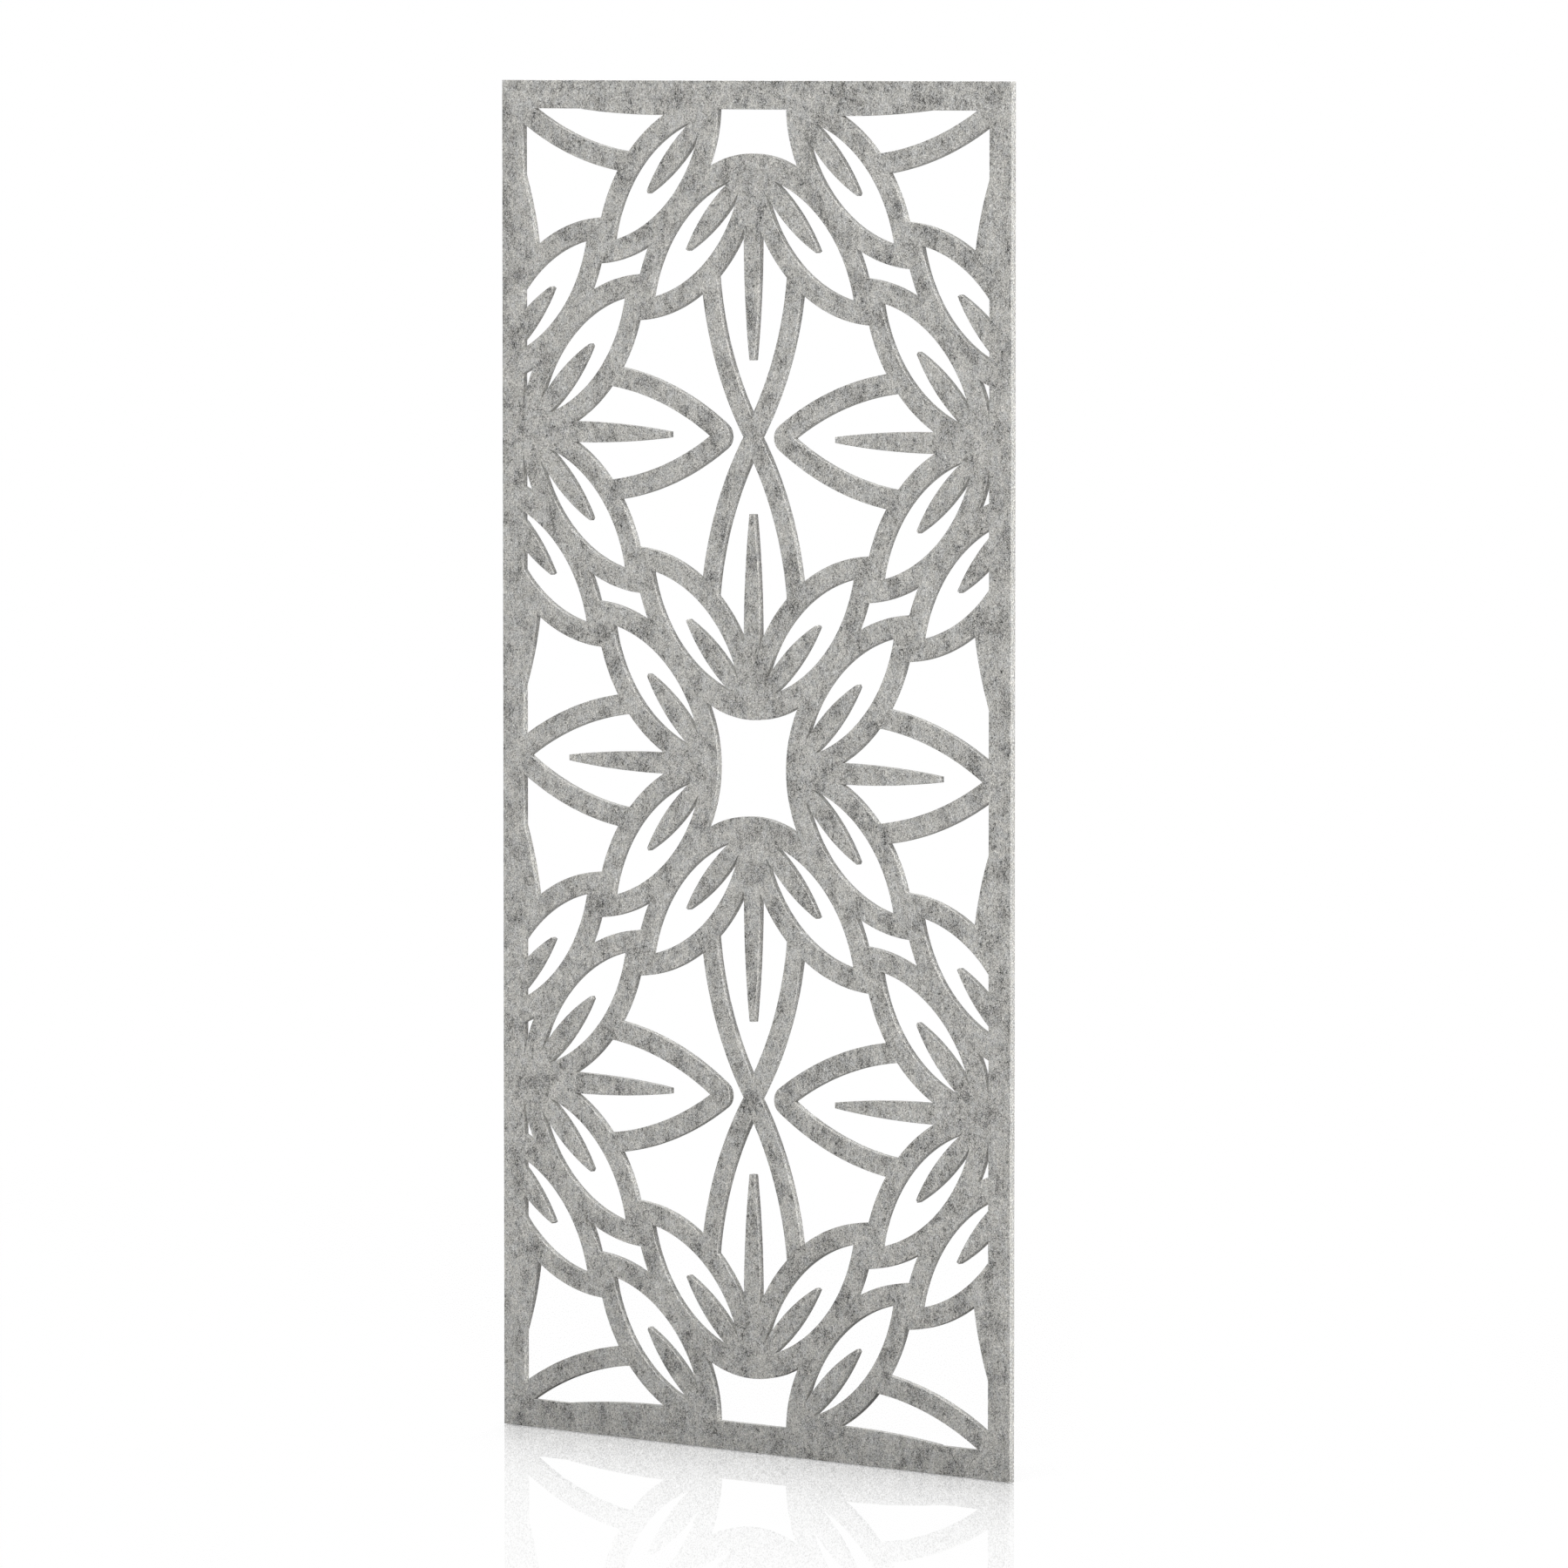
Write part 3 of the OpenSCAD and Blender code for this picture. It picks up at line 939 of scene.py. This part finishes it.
class Finish(Tree):
    """A material's node tree, with its Principled shader."""

    def __init__(self, material, **even):
        super().__init__(emptied(material))
        self.shader = self.add("ShaderNodeBsdfPrincipled")
        for label, value in even.items():
            self.shader.socket.node.inputs[label.replace("_", " ")].default_value = value
        self.add("ShaderNodeOutputMaterial", None, {"Surface": self.shader})
        self.place = self.add("ShaderNodeTexCoord").out("Object")

    def noise(self, where, detail, roughness=0.5):
        return self.add("ShaderNodeTexNoise", None, {
            "Vector": where, "Scale": 1.0, "Detail": detail, "Roughness": roughness})

    def pattern(self, marks, detail, roughness=0.5):
        """Noise on the piece, with so many marks for each metre along X, Y and Z."""
        where = self.add("ShaderNodeVectorMath", {"operation": "MULTIPLY"},
                         {0: self.place, 1: marks})
        return self.noise(where, detail, roughness)

    def times(self, colour, factor):
        """A colour or a vector made stronger or weaker."""
        return self.add("ShaderNodeVectorMath", {"operation": "SCALE"},
                        {0: colour, "Scale": factor})

    def blend(self, share, colour_a, colour_b):
        return self.add("ShaderNodeMix", {"data_type": "RGBA"},
                        {"Factor": share, "A": colour_a, "B": colour_b})

    def surface(self, label, value):
        self.feed(self.shader.socket.node.inputs[label], value)

    def relief(self, height, distance, strength):
        return self.add("ShaderNodeBump", None, {
            "Height": height, "Distance": distance, "Strength": strength})


def swing(pattern, weight):
    """Raises and lowers by turns: nothing where a pattern is at its middle value, 0.5."""
    return (pattern - 0.5) * weight


# %% The felt's finish
board_felt = Finish(felt, Roughness=0.95, Specular_IOR_Level=0.2, Sheen_Weight=0.12,
                    Sheen_Roughness=0.6)
wander = board_felt.pattern((70, 70, 70), 1.0).out("Color")
bent_place = board_felt.add("ShaderNodeVectorMath", {"operation": "ADD"}, {
    0: board_felt.place, 1: board_felt.times(wander, 0.016)})


def fibres(angles, length, width, gather, sparse=0.62, full=0.72):
    """Short fibres at the given angles, 1 on a fibre, and more of them where gather is high."""
    laid = []
    for angle in angles:
        turned = board_felt.add("ShaderNodeMapping", {"vector_type": "TEXTURE"}, {
            "Vector": bent_place, "Location": (angle * 0.01, 0.0, width * angle),
            "Rotation": (0.0, math.radians(angle), 0.0), "Scale": (length, width, width)})
        laid.append((board_felt.noise(turned, 0.0) + gather).between(sparse, full))
    most = laid[0]
    for one in laid[1:]:
        most = larger(most, one)
    return most


cloud = board_felt.pattern((26, 26, 21), 3.0, 0.6)
patch = board_felt.pattern((120, 120, 95), 2.0, 0.6)
grain = board_felt.pattern((560, 560, 480), 1.0, 0.7)
cluster = cloud.between(0.42, 0.66) * 0.6 + patch.between(0.42, 0.66) * 0.4
squiggles = fibres((35, 95, 155), length=0.014, width=0.0014, gather=cluster * 0.16 - 0.09)
fine_dark = fibres((10, 70, 130), length=0.006, width=0.0009, gather=cluster * 0.10 - 0.03)
fine_pale = fibres((40, 100, 160), length=0.007, width=0.0010, gather=cluster * -0.06)
streak = board_felt.pattern((620, 620, 50), 2.0, 0.6)
tone = (1.15 + swing(cloud, -0.55) + swing(patch, -0.4) + swing(grain, 2.9)
        + swing(streak, 0.5) + squiggles * -0.49 + fine_dark * -0.42 + fine_pale * 0.38)
print("on the faces:", len(felt.node_tree.nodes), "nodes")

# %% The cut walls, where the blade has opened the layers of fibre
facing = board_felt.parts(board_felt.add("ShaderNodeTexCoord").out("Normal"))
wall = 1.0 - abs(facing.out("Y")).between(0.35, 0.85)
layers = board_felt.pattern((55, 1500, 55), 2.0, 0.6)
tufts = board_felt.pattern((270, 430, 270), 2.0, 0.6).between(0.44, 0.62)
wall_tone = 0.85 + swing(layers, 1.2) + tufts * 0.9 + swing(cloud, -0.6) + swing(grain, 2.4)
cool_share = board_felt.pattern((90, 90, 90), 2.0, 0.7).between(0.4, 0.66)
warm_grey, cool_grey = (0.389, 0.382, 0.360, 1.0), (0.374, 0.374, 0.366, 1.0)
tint = board_felt.blend(cool_share, warm_grey, cool_grey)
board_felt.surface("Base Color", board_felt.times(tint, tone + (wall_tone - tone) * wall))
nap = fine_pale - fine_dark + grain
nap_or_tufts = nap + (tufts * 1.5 + layers - nap) * wall
board_felt.surface("Normal", board_felt.relief(nap_or_tufts, distance=0.0004, strength=0.6))
print("felt finish:", len(felt.node_tree.nodes), "nodes")


# %% The loose fibres' finish
fibre_finish = Finish(loose_fibre, Roughness=0.8, Specular_IOR_Level=0.3)
which = fibre_finish.pattern((260, 260, 260), 1.0).between(0.35, 0.6)
dark_fibre, pale_fibre = (0.16, 0.155, 0.15, 1.0), (0.62, 0.61, 0.58, 1.0)
fibre_finish.surface("Base Color", fibre_finish.blend(which, dark_fibre, pale_fibre))
print("fibre finish: dark and pale fibres")


# %% The metal finishes
def metal_finish(material, colour, lines_per_metre, roughness, blotch_size):
    """Metal with fine drawn or turned lines, faint cloudy blotches and a few short scratches."""
    metal = Finish(material, Metallic=1.0)
    lines = metal.pattern(lines_per_metre, 3.0, 0.7)
    blotch = metal.pattern((1 / blotch_size,) * 3, 3.0, 0.6)
    scratches = []
    for angle in (-14, 9, 31):
        laid = metal.add("ShaderNodeMapping", {"vector_type": "TEXTURE"}, {
            "Vector": metal.place, "Location": (angle * 0.01, 0.0, 0.0),
            "Rotation": (0.0, 0.0, math.radians(angle)), "Scale": (0.012, 0.00025, 0.01)})
        scratches.append(metal.noise(laid, 0.0).between(0.74, 0.78))
    scratch = scratches[0] + scratches[1] + scratches[2]
    tone = 0.74 + lines * 0.3 + swing(blotch, 0.5) - scratch * 0.25
    metal.surface("Base Color", metal.times(colour, tone))
    metal.surface("Roughness", roughness + swing(lines, 0.3) + swing(blotch, 0.4))
    metal.surface("Normal", metal.relief(lines - scratch * 0.8, distance=0.00004, strength=0.7))


metal_finish(strip_metal, (0.78, 0.79, 0.80), (6, 2600, 2600), roughness=0.34, blotch_size=0.012)
metal_finish(socket_metal, (0.62, 0.63, 0.65), (900, 900, 3000), roughness=0.3, blotch_size=0.004)
metal_finish(screw_metal, (0.45, 0.46, 0.48), (1500, 1500, 900), roughness=0.36, blotch_size=0.002)
print("metal finishes: strip, sockets and screws")

# %% [markdown]
# ## The floor, the white behind it and the light
# The panel hangs just clear of a pale, glossy floor, which mirrors it most strongly close
# to its lower edge. The camera sees plain white behind it, which comes from Light Path and
# not from more light, so the felt keeps its own colour. A lamp almost in line with the
# board catches its outer edge and the walls of wide openings, but cannot reach into narrow
# ones. A broad lamp in front lights the face, and a weaker one behind lights the back.

# %% Floor
floor_gap, floor_reach = 0.001, 60
floor_z = -sheet_h - floor_gap
floor = in_scene("floor", bpy.data.meshes.new("floor"))
floor_corners = [(x * floor_reach, y * floor_reach, floor_z)
                 for x, y in ((-1, -1), (1, -1), (1, 1), (-1, 1))]
floor.data.from_pydata(floor_corners, [], [(0, 1, 2, 3)])
floor_paint = bpy.data.materials.new("floor_paint")
floor.data.materials.append(floor_paint)


def seen_directly(tree):
    """1 for what the camera, a mirror or glass sees, and 0 for light that only bounces."""
    path = tree.add("ShaderNodeLightPath")
    seen = path.out("Is Camera Ray") + path.out("Is Glossy Ray") + path.out("Is Transmission Ray")
    return smaller(seen, 1.0)


ground = Tree(emptied(floor_paint))
pure_white, pale_grey = (1.0, 1.0, 1.0, 1.0), (0.78, 0.78, 0.78, 1.0)
on_floor = ground.add("ShaderNodeTexCoord").out("Object")
where = ground.parts(on_floor)
seen = seen_directly(ground)

# %% The floor's white and its shade
# Past the panel's two ends the distance counts tenfold, so the shade ends soon there.
aside = larger(abs(where.out("X")) - sheet_w / 2, 0.0) * 10.0
away = (aside * aside + where.out("Y") * where.out("Y")) ** 0.5
floor_glow, floor_shade = 0.56, 0.25
# Painted light: the floor glows for light that bounces off it. The glow is dimmed close to the
# panel, which is painted shade on the panel's lower edge.
bounced = away.between(0.05, 0.7) * floor_glow
paint = ground.add("ShaderNodeBsdfDiffuse", None, {"Color": pale_grey})
white = ground.add("ShaderNodeEmission", None, {
    "Color": pure_white, "Strength": seen + (1.0 - seen) * bounced})
# Near the panel a share of lit grey paint is mixed in. It takes the panel's real shadow, and its
# grey also adds painted shade there.
shadow = (1.0 - away.between(0.0, 0.4)) * seen * floor_shade
matt = ground.add("ShaderNodeMixShader", None, {0: shadow, 1: white, 2: paint})
print("floor at", floor_z)

# %% The floor's mirror image
# The sparkle's marks are drawn out in one direction, so that they show at a low angle.
stretched = ground.add("ShaderNodeMapping", {"vector_type": "TEXTURE"}, {
    "Vector": on_floor, "Rotation": (0.0, 0.0, math.radians(42.3)),
    "Scale": (0.0016, 0.016, 1.0)})
sparkle = ground.add("ShaderNodeTexNoise", None, {
    "Vector": stretched, "Scale": 1.0, "Detail": 1.0})
gloss = ground.add("ShaderNodeBsdfGlossy", None, {"Color": pure_white, "Roughness": 0.006})
ahead = abs(where.out("Y"))
share_at_edge, share_left_each_metre = 0.45, 0.08
fade = share_left_each_metre ** ahead * share_at_edge
shine = larger(fade + sparkle - 0.5, 0.0) * (1.0 - ahead.between(1.5, 3.5)) * seen
ground.add("ShaderNodeOutputMaterial", None, {
    "Surface": ground.add("ShaderNodeMixShader", None, {0: shine, 1: matt, 2: gloss})})
print("mirror image: a share of", share_at_edge, "at the panel")


# %% Lamps
def soft_lamp(name, place, watts, width):
    """A square lamp that faces the panel's middle."""
    lamp = bpy.data.lights.new(name, "AREA")
    lamp.energy, lamp.size = watts, width
    holder = in_scene(name, lamp)
    holder.location = place
    aim = Vector((0.0, 0.0, -sheet_h / 2)) - holder.location
    holder.rotation_euler = aim.to_track_quat("-Z", "Y").to_euler()


soft_lamp("lamp_side", (17.0, -1.0, 7.5), watts=3250.0, width=3.0)
soft_lamp("lamp_front", (5.0, -16.0, 5.0), watts=1660.0, width=8.0)
soft_lamp("lamp_behind", (-5.0, 7.0, 3.0), watts=500.0, width=5.0)

# %% The white world
# It lights the panel less from below than from above.
world = bpy.data.worlds.new("world")
bpy.context.scene.world = world
sky = Tree(emptied(world))
towards = sky.parts(sky.add("ShaderNodeTexCoord").out("Generated"))
from_below, more_above = 0.25, 0.3
soft_light = from_below + towards.out("Z").between(-0.6, 0.8) * more_above
sky_seen = seen_directly(sky)
sky.add("ShaderNodeOutputWorld", None, {"Surface": sky.add("ShaderNodeBackground", None, {
    "Color": pure_white, "Strength": sky_seen + (1.0 - sky_seen) * soft_light})})
print("light: three lamps and a pale world")

# %% [markdown]
# ## View settings
# The Standard view keeps colours as they are written.

# %% Finish
bpy.context.scene.view_settings.view_transform = "Standard"
